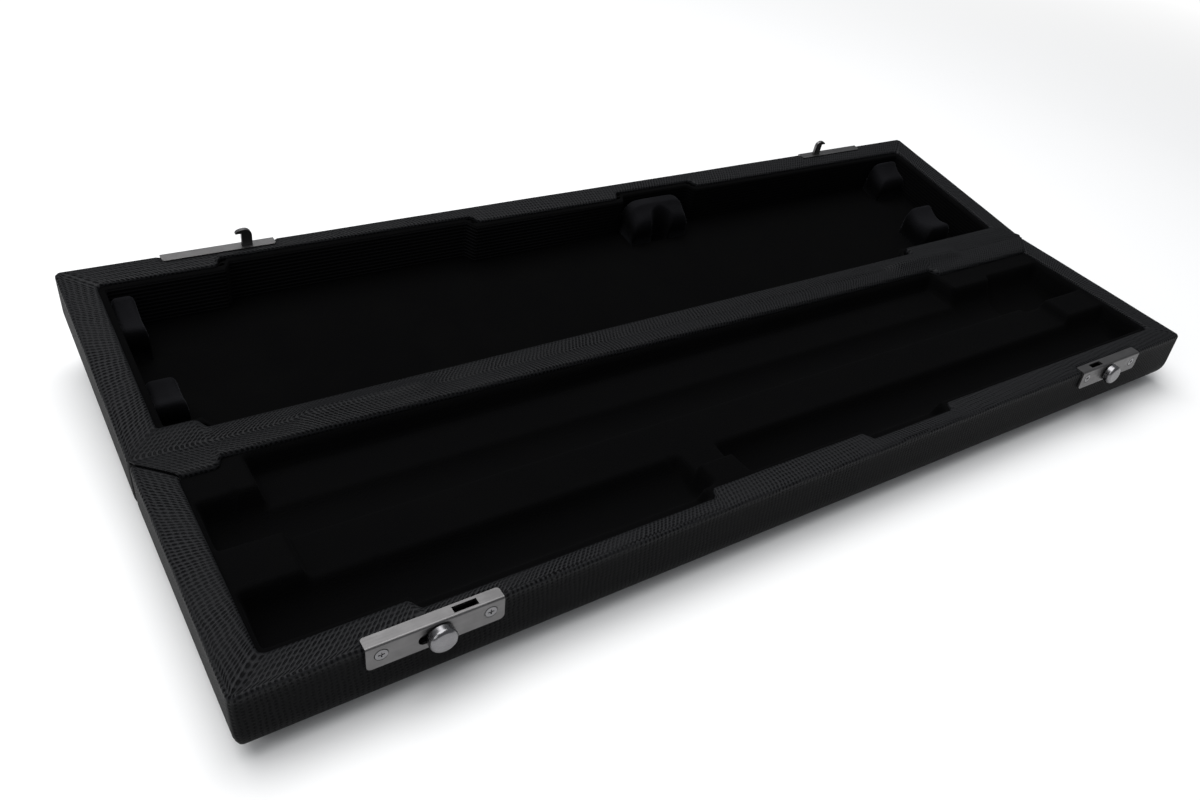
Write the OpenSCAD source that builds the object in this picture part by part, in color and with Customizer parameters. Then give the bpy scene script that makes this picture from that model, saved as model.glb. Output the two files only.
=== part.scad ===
// Flute case: a slim hard case for a three-piece flute, drawn open on a table.
// Two shallow trays are hinged along the back edge. The lower tray has fitted
// wells, the upper one a plain recess with pads. Two sliding snap catches hold
// the front edges together. All sizes are in millimetres, +X to the right, +Y
// towards the hinges, +Z up, with the origin in the middle of the underside.

/* [Case] */
// Length of the case
case_l = 395; // [300:1:520]
// Depth of the case, from the front wall to the hinge wall
case_w = 93; // [84:1:130]
// Height of the lower tray
base_h = 25; // [22:0.5:40]
// Height of the lid
lid_h = 26.4; // [24:0.1:42]
// Rounding of the outer long and end edges
edge_r = 11; // [4:0.5:18]
// Rounding of the upright corners
corner_r = 2; // [1.5:0.5:9]
// How far the lid stands open, in degrees from closed
open_a = 173; // [0:1:173]
// Air between the two rims when the case is closed
rim_gap = 0.4; // [0.3:0.1:1]

/* [Walls] */
// Width of the covered rim round the opening
rim_w = 10; // [8:0.5:14]
// Thickness of the leatherette with its padding
cover_t = 1; // [0.6:0.1:1.5]
// Thickness of the wooden floor of a tray
floor_t = 3; // [2:0.5:5]
// Air between the wood and its cover
skin_gap = 0.03; // [0.02:0.01:0.1]
// Corner radius of the opening
opening_r = 2.6; // [1:0.1:6]

/* [Bays in the rim] */
// How much a bay narrows the rim
bay_d = 4.2; // [2:0.1:6]
// From the left end of the case to the long bay along the hinges
back_bay_left = 20.5; // [14:0.5:70]
// From that bay to the right end of the case
back_bay_right = 69.5; // [30:0.5:130]
// From the left end of the case to the front bay
front_bay_left = 47.5; // [30:0.5:90]
// Length of the front bay
front_bay_l = 100; // [40:1:120]
// From the middle of the case to the middle bay
mid_bay_off = 14; // [0:1:40]
// Length of the middle bay
mid_bay_l = 44; // [42:1:70]

/* [Wells] */
// Thickness of the velvet lining
lining_t = 0.8; // [0.5:0.1:1.5]
// How far the lining sits below the rim
ledge_d = 1.2; // [0.5:0.1:3]
// Axis of the tube wells below the rim
well_drop = 3; // [0:0.5:6]
// Radius of the long back well
back_well_r = 10.5; // [9:0.1:13]
// Place of the back well's axis along Y
back_well_y = 14; // [10:0.5:20]
// Radius of the wide socket at the back well's right end
socket_r = 13; // [11:0.1:14]
// Length of that socket
socket_l = 36; // [15:1:60]
// Radius of the two front wells
front_well_r = 10.3; // [9:0.1:12]
// Place of the front wells' axis along Y
front_well_y = -23.5; // [-27:0.5:-20]
// From the left end of the case to the end of the left front well
left_well_l = 150.5; // [110:0.5:170]
// Width of the wall between the two front wells
well_wall = 14; // [8:1:40]
// Stand-off between a well and the opening
well_edge = 1.8; // [1.5:0.1:4]
// Depth of the key shelf behind the back well
back_shelf_d = 9; // [4:0.5:14]
// Depth of the key shelf in front of the left well
front_shelf_d = 7; // [4:0.5:12]
// Depth of the relief in the ridge between the wells
ridge_d = 5; // [2:0.5:9]
// Length of ridge left standing at each end
ridge_end = 17; // [8:1:60]

/* [Lid inside] */
// Depth of the lid's recess
recess_d = 19; // [14:0.5:21]
// Thickness of the recess's lined wall
recess_wall = 2.4; // [2:0.1:5]
// Length of the back pad at the left end
left_back_pad_l = 10; // [8:1:30]
// Length of the front pad at the left end
left_front_pad_l = 8; // [6:1:30]
// Length of the pad in the middle bay
mid_pad_l = 29; // [14:1:34]
// Length of the front pad at the right end
right_front_pad_l = 17; // [8:1:30]
// Length of the back pad at the right end
right_back_pad_l = 16; // [8:1:30]
// From that pad to the lining at the right end
right_back_pad_in = 9; // [0:1:20]
// Width of the pads along Y
pad_w = 20; // [14:1:24]
// How far the pads stay below the lid's rim
pad_drop = 2.5; // [1:0.5:6]
// Radius of the saddle cut into the pads
saddle_r = 10.2; // [9:0.1:13]
// Corner radius of the pads
pad_r = 1.5; // [0.5:0.1:4]

/* [Catches] */
// From an end of the case to the middle of its catch
catch_in = 51.2; // [38:0.1:90]
// Length of a catch plate
plate_l = 38; // [34:0.5:50]
// Thickness of the catch plates
plate_t = 0.8; // [0.5:0.1:1.2]
// Width of a plate's flange on the rim
flange_w = 3.5; // [3:0.1:5]
// Height of the lower plate on the front wall
plate_h = 8; // [7.5:0.1:12]
// Height of the lid's plate on its front wall
lid_plate_h = 5.5; // [5:0.1:9]
// Distance between a plate's screws
screw_pitch = 30; // [28:0.5:40]
// Diameter of the knob
knob_d = 8; // [6:0.1:10]
// Height of the knob's head
knob_h = 3.3; // [2.7:0.1:7]
// Diameter of the knob's neck
neck_d = 3; // [2:0.1:4]
// Travel of the knob
travel = 4; // [3:0.1:5]
// Centre line of the knob below the rim
knob_z = 4.4; // [4:0.1:5]
// Place of the hook's slot from the plate's middle
slot_x = 8.6; // [7:0.1:10]
// Length of the hook's slot
slot_l = 7; // [6.5:0.1:8]
// Width of the hook's slot
slot_w = 2.2; // [2:0.1:2.6]
// Thickness of the hook
hook_t = 1.3; // [1:0.1:1.5]
// Reach of the hook below the lid's rim
hook_h = 6.9; // [6:0.1:7.4]

/* [Hinges] */
// From an end of the case to the middle of its hinge
hinge_in = 69.5; // [30:0.5:120]
// Length of a hinge
hinge_l = 30; // [20:1:50]
// Radius of the hinge barrel
barrel_r = 1.3; // [1.2:0.1:2]
// Distance of the hinge line behind the back wall
pivot_off = 0.3; // [0.2:0.1:1]
// Thickness of a hinge leaf
leaf_t = 0.9; // [0.6:0.1:0.9]
// Height of a hinge leaf on the back wall
leaf_h = 10; // [7:0.5:14]
// Radius of the hinge pin
pin_r = 0.6; // [0.5:0.1:0.8]
// Thickness of the leatherette strip over the hinge line
strip_t = 0.4; // [0.3:0.1:0.5]

/* [Hidden] */
$fa = 6;
$fs = 0.4;
eps = 0.01;
run_gap = 0.3;                        // air beside a moving piece
fit_gap = 0.05;                       // air round a pin, a screw or a glued piece
front = -case_w / 2;
back = case_w / 2;
catch_x = case_l / 2 - catch_in;      // distance of a catch from the middle
hinge_x = case_l / 2 - hinge_in;
back_bay_x0 = -case_l / 2 + back_bay_left;
back_bay_x1 = case_l / 2 - back_bay_right;
front_bay_x0 = -case_l / 2 + front_bay_left;
front_bay_x1 = front_bay_x0 + front_bay_l;
mid_bay_x0 = mid_bay_off;
mid_bay_x1 = mid_bay_x0 + mid_bay_l;
left_well_x1 = -case_l / 2 + left_well_l;
open_x = case_l / 2 - rim_w;          // half length of the opening
open_y = case_w / 2 - rim_w;          // half depth of the opening
well_x = open_x - well_edge;          // half length of the wells
slot_y = front + 1.5;                 // middle of the hook's slot
chamber_l = 25.4;                     // catch chamber inside the wall
chamber_d = 3.6;
chamber_h = 8.2;
case_wall = 0.5;
hook_shank = 3.6;
hook_beak = 2;
hook_x = slot_x + slot_l / 2 - run_gap - 0.6;   // right side of the hook
bolt_x0 = -4;
bolt_tip = hook_x - hook_shank - 0.4;
bolt_w = 2.1;
tongue_h = 1.5;
spring_r = 1.1;
wire_r = 0.2;
spring_turns = 5;
leatherette = [0.13, 0.13, 0.14];
velvet = [0.05, 0.05, 0.07];
nickel = [0.78, 0.77, 0.8];
plywood = [0.72, 0.58, 0.4];

// ---------- shared outlines ----------

// a rectangle with round corners, given by its limits and a growth
module round_rect(x0, x1, y0, y1, r, grow = 0) {
  a = x0 - grow; b = x1 + grow; c = y0 - grow; d = y1 + grow; q = r + grow;
  translate([a + q, c]) square([b - a - 2 * q, d - c]);
  translate([a, c + q]) square([b - a, d - c - 2 * q]);
  for (x = [a + q, b - q], y = [c + q, d - q]) translate([x, y]) circle(r = q);
}

// the outline of the opening in both rims, with its bays
module opening(grow = 0) {
  round_rect(-open_x, open_x, -open_y, open_y, opening_r, grow);
  round_rect(back_bay_x0, back_bay_x1, 0, open_y + bay_d, opening_r, grow);
  round_rect(front_bay_x0, front_bay_x1, -open_y - bay_d, 0, opening_r, grow);
  round_rect(mid_bay_x0, mid_bay_x1, -open_y - bay_d, 0, opening_r, grow);
}

// a tray's section: straight sides above, round edges below
module tray_section(width, height, r) {
  translate([-width / 2, r]) square([width, height - r]);
  translate([-width / 2 + r, 0]) square([width - 2 * r, height]);
  for (s = [-1, 1]) translate([s * (width / 2 - r), r]) circle(r = r);
}

// the outer form of a tray, with its rim at z = 0 and an inset on every face
module tray_form(height, inset) {
  l = case_l - 2 * inset; w = case_w - 2 * inset; h = height - 2 * inset;
  translate([0, 0, -height + inset]) intersection() {
    translate([-l / 2, 0, 0]) rotate([90, 0, 90]) linear_extrude(l)
      tray_section(w, h, edge_r - inset);
    translate([0, w / 2, 0]) rotate([90, 0, 0]) linear_extrude(w)
      tray_section(l, h, edge_r - inset);
    linear_extrude(h)
      round_rect(-l / 2, l / 2, -w / 2, w / 2, corner_r - inset);
  }
}

// a slab between two heights with the opening's outline
module opening_slab(z0, z1, grow) {
  translate([0, 0, z0]) linear_extrude(z1 - z0) opening(grow);
}

// a box given by its two corners
module block(a, b) { translate(a) cube(b - a); }

// places one of the two mirrored catches or hinges, side -1 left, 1 right
module on_side(side, x) {
  mirror([side > 0 ? 1 : 0, 0, 0]) translate([-x, 0, 0]) children();
}
module on_both(x) { for (side = [-1, 1]) on_side(side, x) children(); }

// from tray coordinates, rim at z = 0, to the lower tray or the open lid
module on_base() { translate([0, 0, base_h]) children(); }
module on_lid() {
  pivot = [0, back + pivot_off, base_h + rim_gap / 2];
  translate(pivot) rotate([-open_a, 0, 0]) translate(-pivot)
    translate([0, 0, base_h + rim_gap]) mirror([0, 0, 1]) children();
}

// ---------- trays ----------

// room for the catch parts in the front edge, the same in wood and cover
module catch_cut(deep, plate_room) {
  on_both(catch_x) {
    block([-plate_l / 2 - plate_room, front - 1, -cover_t],
      [plate_l / 2 + plate_room, front + flange_w + plate_room, 1]);
    if (deep > 0) block([-chamber_l / 2, front - 1, -chamber_h],
      [chamber_l / 2, front + deep, 0]);
  }
}
module plate_screw_holes(z) {
  on_both(catch_x) for (s = [-1, 1])
    translate([s * screw_pitch / 2, front - 2, z]) rotate([-90, 0, 0])
      cylinder(r = 0.8 + fit_gap, h = 2 + 5 + fit_gap);
}
module hook_foot_room() {
  on_both(catch_x) block([hook_x - 6.5, slot_y - 1.6, -2.5],
    [hook_x + 2.4, slot_y + 1.6, 0]);
}
// room for the hinge barrels, the heads of their pins and the hinge screws
module barrel_room() {
  on_both(hinge_x) translate([-hinge_l / 2 - 0.5 - run_gap, back + pivot_off, rim_gap / 2])
    rotate([0, 90, 0]) cylinder(r = barrel_r + run_gap, h = hinge_l + 1 + 2 * run_gap);
}
module hinge_cut() {
  barrel_room();
  on_both(hinge_x) for (s = [-1, 1])
    translate([s * hinge_l / 3.2, back + 1, -leaf_h + 3.4])
      rotate([90, 0, 0]) cylinder(r = 0.8 + fit_gap, h = 1 + 4 + fit_gap);
}
// room for the hinge leaves, let into the covers
module leaf_room() {
  on_both(hinge_x) translate([0, back + 1, 0]) rotate([90, 0, 0]) linear_extrude(cover_t + 1)
    round_rect(-hinge_l / 2, hinge_l / 2, -leaf_h, 4, 1.5, fit_gap);
}
// the hinge side of a rim, from mitre to mitre
module strip_outline(grow) {
  g = grow * 1.4142; x = case_l / 2 + 2 + g; q = open_x - 2 + g;
  polygon([[-x, back + 2], [-q, open_y - 2], [q, open_y - 2], [x, back + 2]]);
}
// a leatherette strip let into the rim, half of the one that covers the hinge line
module hinge_strip() {
  color(leatherette) difference() {
    translate([0, 0, -strip_t]) linear_extrude(strip_t) difference() {
      intersection() {
        strip_outline(0);
        round_rect(-case_l / 2, case_l / 2, -case_w / 2, case_w / 2, corner_r);
      }
      opening(0);
    }
    barrel_room();
  }
}
module strip_room() {
  translate([0, 0, -strip_t - skin_gap]) linear_extrude(2) strip_outline(fit_gap);
}

module base_cover() {
  color(leatherette) on_base() difference() {
    tray_form(base_h, 0);
    tray_form(base_h, cover_t);
    opening_slab(-floor_t, 1, 0);
    catch_cut(chamber_d, fit_gap);
    plate_screw_holes(-plate_h / 2 + 0.3);
    hinge_cut();
    leaf_room();
    strip_room();
  }
}
module base_shell() {
  color(plywood) on_base() difference() {
    tray_form(base_h, cover_t + skin_gap);
    opening_slab(-base_h + cover_t + floor_t, 1, 0);
    catch_cut(chamber_d, fit_gap);
    plate_screw_holes(-plate_h / 2 + 0.3);
    hinge_cut();
  }
}
module lid_cover() {
  color(leatherette) on_lid() difference() {
    tray_form(lid_h, 0);
    tray_form(lid_h, cover_t);
    opening_slab(-floor_t, 1, 0);
    catch_cut(0, fit_gap);
    hook_foot_room();
    plate_screw_holes(-lid_plate_h / 2 - 0.5);
    hinge_cut();
    leaf_room();
    strip_room();
  }
}
module hinge_strip_base() on_base() hinge_strip();
module hinge_strip_lid() on_lid() hinge_strip();
module lid_shell() {
  color(plywood) on_lid() difference() {
    tray_form(lid_h, cover_t + skin_gap);
    opening_slab(-lid_h + cover_t + floor_t, 1, 0);
    hook_foot_room();
    plate_screw_holes(-lid_plate_h / 2 - 0.5);
    hinge_cut();
  }
}

// ---------- fitted wells of the lower tray ----------

// a trough with a round bottom, open at the top
module trough(x0, x1, y, r, grow) {
  translate([x0 - grow, y, -well_drop]) rotate([0, 90, 0])
    cylinder(r = r + grow, h = x1 - x0 + 2 * grow);
  block([x0 - grow, y - r - grow, -well_drop], [x1 + grow, y + r + grow, 1]);
}
module shelf(x0, x1, y0, y1, depth, grow) {
  translate([0, 0, -depth - grow]) linear_extrude(depth + grow + 1)
    round_rect(x0, x1, y0, y1, 1.6, grow);
}
// everything that is sunk into the lower lining
module wells(grow) {
  trough(-well_x, well_x, back_well_y, back_well_r, grow);
  trough(well_x - socket_l, well_x, back_well_y, socket_r, grow);
  trough(-well_x, left_well_x1, front_well_y, front_well_r, grow);
  trough(left_well_x1 + well_wall, well_x, front_well_y, front_well_r, grow);
  shelf(back_bay_x0 + 8, back_bay_x1 - 2, back_well_y,
    open_y + bay_d - well_edge, back_shelf_d, grow);
  shelf(front_bay_x0 + 2, front_bay_x1 - 2, -open_y - bay_d + well_edge,
    front_well_y, front_shelf_d, grow);
  shelf(mid_bay_x0 + 2, mid_bay_x1 - 2, -open_y - bay_d + well_edge,
    front_well_y, front_shelf_d, grow);
  shelf(-well_x + ridge_end, well_x - ridge_end - 8, front_well_y, back_well_y,
    ridge_d, grow);
}
module base_former() {
  color(velvet) on_base() difference() {
    opening_slab(-base_h + cover_t + floor_t, -ledge_d - lining_t - fit_gap,
      -fit_gap);
    wells(lining_t + fit_gap);
  }
}
module base_lining() {
  color(velvet) on_base() difference() {
    union() {
      opening_slab(-ledge_d - lining_t, -ledge_d, -fit_gap);
      intersection() {
        wells(lining_t);
        opening_slab(-base_h + cover_t + floor_t, -ledge_d, -fit_gap);
      }
    }
    wells(0);
  }
}

// ---------- lining and pads of the lid ----------

module lid_former() {
  color(velvet) on_lid() difference() {
    opening_slab(-lid_h + cover_t + floor_t, -ledge_d - lining_t - fit_gap,
      -fit_gap);
    opening_slab(-recess_d - lining_t - fit_gap, 1,
      -recess_wall + lining_t + fit_gap);
  }
}
module lid_lining() {
  color(velvet) on_lid() difference() {
    union() {
      opening_slab(-ledge_d - lining_t, -ledge_d, -fit_gap);
      opening_slab(-recess_d - lining_t, -ledge_d, -recess_wall + lining_t);
    }
    opening_slab(-recess_d, 1, -recess_wall);
  }
}
// a pad on the recess's floor, hollowed to hold down a tube lying along X
module lid_pad(x0, x1, y0, y1, axis_y, arch = 0) {
  color(velvet) on_lid() difference() {
    translate([0, 0, -recess_d]) linear_extrude(recess_d - pad_drop)
      round_rect(x0, x1, y0, y1, pad_r);
    translate([x0 - 1, axis_y, well_drop + rim_gap]) rotate([0, 90, 0])
      cylinder(r = saddle_r, h = x1 - x0 + 2);
    if (arch > 0) translate([(x0 + x1) / 2, y1, -recess_d - 1])
      cylinder(r = arch, h = recess_d + 2);
  }
}
lid_x = open_x - recess_wall - fit_gap;   // inner limits of the lid's recess
lid_y = open_y - recess_wall - fit_gap;
module pad_left_back() lid_pad(-lid_x, -lid_x + left_back_pad_l,
  back_well_y - 0.35 * pad_w, back_well_y + 0.4 * pad_w, back_well_y);
module pad_left_front() lid_pad(-lid_x, -lid_x + left_front_pad_l,
  -lid_y, -lid_y + 0.9 * pad_w, front_well_y);
module pad_middle() lid_pad(mid_bay_x0 + 5, mid_bay_x0 + 5 + mid_pad_l,
  -lid_y - bay_d, -lid_y - bay_d + 0.65 * pad_w, front_well_y, 5);
module pad_right_front() lid_pad(lid_x - right_front_pad_l, lid_x,
  -lid_y, -lid_y + 0.6 * pad_w, front_well_y);
module pad_right_back() lid_pad(lid_x - right_back_pad_in - right_back_pad_l,
  lid_x - right_back_pad_in, back_well_y - pad_w / 2, back_well_y + 0.4 * pad_w, back_well_y);

// ---------- catches ----------

// a plate bent over the front edge: a flange on the rim, a face on the wall
module edge_plate(face_h) {
  intersection() {
    translate([-plate_l / 2, 0, 0]) rotate([90, 0, 90]) linear_extrude(plate_l) {
      translate([front, -cover_t]) square([flange_w, cover_t]);
      translate([front - plate_t, -face_h]) square([plate_t, face_h - plate_t]);
      intersection() {
        translate([front, -plate_t]) circle(r = plate_t);
        translate([front - plate_t, -plate_t]) square(plate_t);
      }
    }
    translate([0, front + 2, 0]) rotate([90, 0, 0]) linear_extrude(4)
      round_rect(-plate_l / 2, plate_l / 2, -face_h, 4, 1.5);
  }
  translate([0, 0, -cover_t]) linear_extrude(cover_t)
    round_rect(-plate_l / 2, plate_l / 2, front, front + flange_w, 1);
}
module plate_countersinks(z) {
  for (s = [-1, 1]) translate([s * screw_pitch / 2, front - plate_t, z])
    rotate([-90, 0, 0]) {
      cylinder(r = 0.8 + fit_gap, h = 3);
      translate([0, 0, -eps]) cylinder(r1 = 2, r2 = 1.1, h = 0.75);
    }
}
module catch_plate() {
  color(nickel) difference() {
    edge_plate(plate_h);
    block([slot_x - slot_l / 2, slot_y - slot_w / 2, -cover_t - 1],
      [slot_x + slot_l / 2, slot_y + slot_w / 2, 1]);
    translate([0, front + 1, 0]) rotate([90, 0, 0]) linear_extrude(3)
      round_rect(-travel - neck_d / 2 - run_gap + 0.5, neck_d / 2 + run_gap + 0.5,
        -knob_z - neck_d / 2 - run_gap, -knob_z + neck_d / 2 + run_gap,
        neck_d / 2 + run_gap - eps);
    plate_countersinks(-plate_h / 2 + 0.3);
  }
}
// a thin tray behind the plate that guides the bolt
module catch_case() {
  l = chamber_l - 2 * fit_gap;
  color(nickel) difference() {
    block([-l / 2, front + fit_gap, -chamber_h + fit_gap],
      [l / 2, front + chamber_d - fit_gap, -cover_t - fit_gap]);
    block([-l / 2 + case_wall, front - 1, -chamber_h + fit_gap + case_wall],
      [l / 2 - case_wall, front + chamber_d - fit_gap - case_wall, 1]);
  }
}
// the bolt: a block on the knob's neck, with a tongue that passes over the hook
module bolt() {
  y0 = slot_y - bolt_w / 2 - 0.1;
  color(nickel) difference() {
    union() {
      block([bolt_x0, y0, -7.3], [4.4, y0 + bolt_w, -1.5]);
      block([4.4 - eps, y0, -3 - tongue_h], [bolt_tip, y0 + bolt_w, -3]);
    }
    translate([0.5, front - 1, -knob_z]) rotate([-90, 0, 0])
      cylinder(r = neck_d / 2 - 0.4 + fit_gap, h = 8);
  }
}
// the knob: a turned head with a round edge, its neck and its rivet end
module knob() {
  y0 = slot_y - bolt_w / 2 - 0.1;             // outer face of the bolt
  head = front - plate_t - run_gap;           // back of the head
  color(nickel) translate([0.5, y0, -knob_z]) rotate([90, 0, 0]) {
    neck = y0 - head;
    translate([0, 0, -bolt_w]) cylinder(r = neck_d / 2 - 0.4, h = bolt_w + eps);
    cylinder(r = neck_d / 2, h = neck + eps);
    translate([0, 0, neck]) rotate_extrude() {
      square([knob_d / 2 - 0.5, knob_h - 0.8]);
      translate([0, 0.5]) square([knob_d / 2, knob_h - 1.8]);
      translate([knob_d / 2 - 0.5, 0.5]) circle(r = 0.5);
      intersection() {
        translate([knob_d / 2 - 1.3, knob_h - 1.3]) circle(r = 1.3);
        translate([knob_d / 2 - 1.3, knob_h - 1.3]) square(2);
      }
      square([knob_d / 2 - 1.3, knob_h]);
      translate([knob_d / 2 - 1.4, 0.5]) square([0.5, knob_h - 1.8]);
    }
  }
}
// a coil spring along X as one tube, from rings turned about its path
module coil(x0, x1, r, wire, turns) {
  per = 8; sides = 6; n = turns * per;
  pitch = (x1 - x0 - 2 * wire) / turns;
  pts = [for (i = [0:n]) let (a = 360 * i / per, x = x0 + wire + pitch * i / per)
    for (k = [0:sides - 1]) let (b = 360 * k / sides, q = r + wire * cos(b))
      [x + wire * sin(b), q * cos(a), q * sin(a)]];
  faces = concat(
    [[for (k = [sides - 1:-1:0]) k]],
    [for (i = [0:n - 1], k = [0:sides - 1]) let (m = (k + 1) % sides, a = i * sides, b = a + sides)
      each [[a + k, a + m, b + k], [b + k, a + m, b + m]]],
    [[for (k = [0:sides - 1]) n * sides + k]]);
  echo(least_gap_between_curls = pitch - 2 * wire);
  polyhedron(points = pts, faces = faces);
}
module catch_spring() {
  x0 = -chamber_l / 2 + fit_gap + case_wall;
  color(nickel) translate([0, slot_y, -knob_z])
    coil(x0 + 0.1, bolt_x0 - 0.1, spring_r, wire_r, spring_turns);
}
// a countersunk cross-head screw pointing along +Y from its head's face
module screw(length) {
  color(nickel) rotate([-90, 0, 0]) difference() {
    union() {
      cylinder(r1 = 1.7, r2 = 0.8, h = 0.75);
      cylinder(r = 0.8, h = length);
    }
    for (a = [0, 90]) rotate([0, 0, a]) translate([-0.9, -0.2, -1])
      cube([1.8, 0.4, 1.35]);
  }
}
module plate_screws(z) {
  for (s = [-1, 1]) translate([s * screw_pitch / 2, front - plate_t, z]) screw(5);
}
module hook_plate() {
  color(nickel) difference() {
    edge_plate(lid_plate_h);
    block([hook_x - hook_shank - 0.1, slot_y - hook_t / 2 - 0.1, -cover_t - 1],
      [hook_x + 0.1, slot_y + hook_t / 2 + 0.1, 1]);
    plate_countersinks(-lid_plate_h / 2 - 0.5);
  }
}
// the hook: a shank with a round back and a beak, and a foot below the plate
module hook() {
  tip = hook_h; foot = -cover_t - fit_gap; back_r = 2.6;
  inner = hook_x - hook_shank;
  color(nickel) translate([0, slot_y + hook_t / 2, 0]) rotate([90, 0, 0])
    linear_extrude(hook_t) polygon(concat(
      [[hook_x - 6.2, -2.2], [hook_x + 2.1, -2.2], [hook_x + 2.1, foot], [hook_x, foot]],
      [for (a = [0:15:90]) [hook_x - back_r + back_r * cos(a), tip - back_r + back_r * sin(a)]],
      [for (a = [105:15:180]) [hook_x - back_r + (hook_shank + hook_beak - back_r) * cos(a),
        tip - 1.6 + 1.6 * sin(a)]],
      [[inner, tip - 1.6], [inner, foot], [hook_x - 6.2, foot]]));
}

module catch_plate_left() on_base() on_side(-1, catch_x) catch_plate();
module catch_plate_right() on_base() on_side(1, catch_x) catch_plate();
module catch_case_left() on_base() on_side(-1, catch_x) catch_case();
module catch_case_right() on_base() on_side(1, catch_x) catch_case();
module catch_spring_left() on_base() on_side(-1, catch_x) catch_spring();
module catch_spring_right() on_base() on_side(1, catch_x) catch_spring();
module bolt_left() on_base() on_side(-1, catch_x) bolt();
module bolt_right() on_base() on_side(1, catch_x) bolt();
module knob_left() on_base() on_side(-1, catch_x) knob();
module knob_right() on_base() on_side(1, catch_x) knob();
module catch_screws() on_base() on_both(catch_x) plate_screws(-plate_h / 2 + 0.3);
module hook_plate_left() on_lid() on_side(-1, catch_x) hook_plate();
module hook_plate_right() on_lid() on_side(1, catch_x) hook_plate();
module hook_left() on_lid() on_side(-1, catch_x) hook();
module hook_right() on_lid() on_side(1, catch_x) hook();
module hook_plate_screws() on_lid() on_both(catch_x) plate_screws(-lid_plate_h / 2 - 0.5);

// ---------- hinges ----------

knuckle = (hinge_l - 2 * run_gap) / 3;
// spans of the three knuckles along X; the outer two belong to the lower tray
function knuckle_span(i) = [-hinge_l / 2 + i * (knuckle + run_gap),
  -hinge_l / 2 + i * (knuckle + run_gap) + knuckle];
module on_pivot(x) {
  translate([x, back + pivot_off, rim_gap / 2]) rotate([0, 90, 0]) children();
}
module hinge_leaf(own, other) {
  color(nickel) difference() {
    union() {
      translate([0, back, 0]) rotate([90, 0, 0]) linear_extrude(leaf_t)
        union() {
          top = -strip_t - 2 * skin_gap;
          round_rect(-hinge_l / 2, hinge_l / 2, -leaf_h, -1, 1.5);
          translate([-hinge_l / 2, -4]) square([hinge_l, 4 + top]);
        }
      for (i = own) on_pivot(knuckle_span(i)[0]) cylinder(r = barrel_r, h = knuckle);
    }
    for (i = other) on_pivot(knuckle_span(i)[0] - run_gap)
      cylinder(r = barrel_r + run_gap, h = knuckle + 2 * run_gap);
    on_pivot(-hinge_l) cylinder(r = pin_r + fit_gap, h = 2 * hinge_l);
    for (s = [-1, 1]) translate([s * hinge_l / 3.2, back, -leaf_h + 3.4])
      rotate([90, 0, 0]) {
        cylinder(r = 0.8 + fit_gap, h = 3);
        translate([0, 0, -eps]) cylinder(r1 = 1.7 + fit_gap, r2 = 0.8 + fit_gap, h = 0.75);
      }
  }
}
module leaf_screws() {
  for (s = [-1, 1]) translate([s * hinge_l / 3.2, back, -leaf_h + 3.4])
    mirror([0, 1, 0]) screw(4);
}
module base_hinge_left() on_base() on_side(-1, hinge_x) hinge_leaf([0, 2], [1]);
module base_hinge_right() on_base() on_side(1, hinge_x) hinge_leaf([0, 2], [1]);
module lid_hinge_left() on_lid() on_side(-1, hinge_x) hinge_leaf([1], [0, 2]);
module lid_hinge_right() on_lid() on_side(1, hinge_x) hinge_leaf([1], [0, 2]);
module base_hinge_screws() on_base() on_both(hinge_x) leaf_screws();
module lid_hinge_screws() on_lid() on_both(hinge_x) leaf_screws();
// a pin through the knuckles, with a low head at each end
module hinge_pins() {
  color(nickel) on_base() on_both(hinge_x) {
    on_pivot(-hinge_l / 2) cylinder(r = pin_r, h = hinge_l);
    for (x = [-hinge_l / 2 - 0.5, hinge_l / 2]) on_pivot(x)
      cylinder(r = pin_r + 0.3, h = 0.5);
  }
}

base_shell();
base_cover();
base_former();
base_lining();
base_hinge_left();
base_hinge_right();
hinge_pins();
base_hinge_screws();
hinge_strip_base();
hinge_strip_lid();
catch_plate_left();
catch_plate_right();
catch_case_left();
catch_case_right();
catch_spring_left();
catch_spring_right();
catch_screws();
bolt_left();
bolt_right();
knob_left();
knob_right();
lid_shell();
lid_cover();
lid_former();
lid_lining();
lid_hinge_left();
lid_hinge_right();
lid_hinge_screws();
hook_plate_left();
hook_plate_right();
hook_left();
hook_right();
hook_plate_screws();
pad_left_back();
pad_left_front();
pad_middle();
pad_right_front();
pad_right_back();
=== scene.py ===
import math
import bmesh
import bpy
import numpy as np
from mathutils import Matrix, Vector


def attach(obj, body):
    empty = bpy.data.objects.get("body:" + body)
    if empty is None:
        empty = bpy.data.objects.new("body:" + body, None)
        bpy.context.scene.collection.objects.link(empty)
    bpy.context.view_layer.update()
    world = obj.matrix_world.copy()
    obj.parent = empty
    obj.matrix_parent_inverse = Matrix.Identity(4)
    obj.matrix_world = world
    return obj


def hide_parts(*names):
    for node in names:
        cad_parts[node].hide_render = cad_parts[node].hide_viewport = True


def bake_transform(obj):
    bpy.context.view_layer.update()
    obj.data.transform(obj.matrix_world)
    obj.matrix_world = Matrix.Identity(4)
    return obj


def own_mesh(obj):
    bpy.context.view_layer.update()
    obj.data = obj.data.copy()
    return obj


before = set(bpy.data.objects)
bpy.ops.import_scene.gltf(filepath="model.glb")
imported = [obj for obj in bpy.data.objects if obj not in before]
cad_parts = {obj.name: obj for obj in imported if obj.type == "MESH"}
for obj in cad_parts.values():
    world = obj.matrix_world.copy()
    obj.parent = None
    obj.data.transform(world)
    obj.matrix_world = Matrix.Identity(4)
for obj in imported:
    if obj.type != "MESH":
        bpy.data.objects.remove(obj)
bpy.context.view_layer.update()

MM = 0.001

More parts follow.
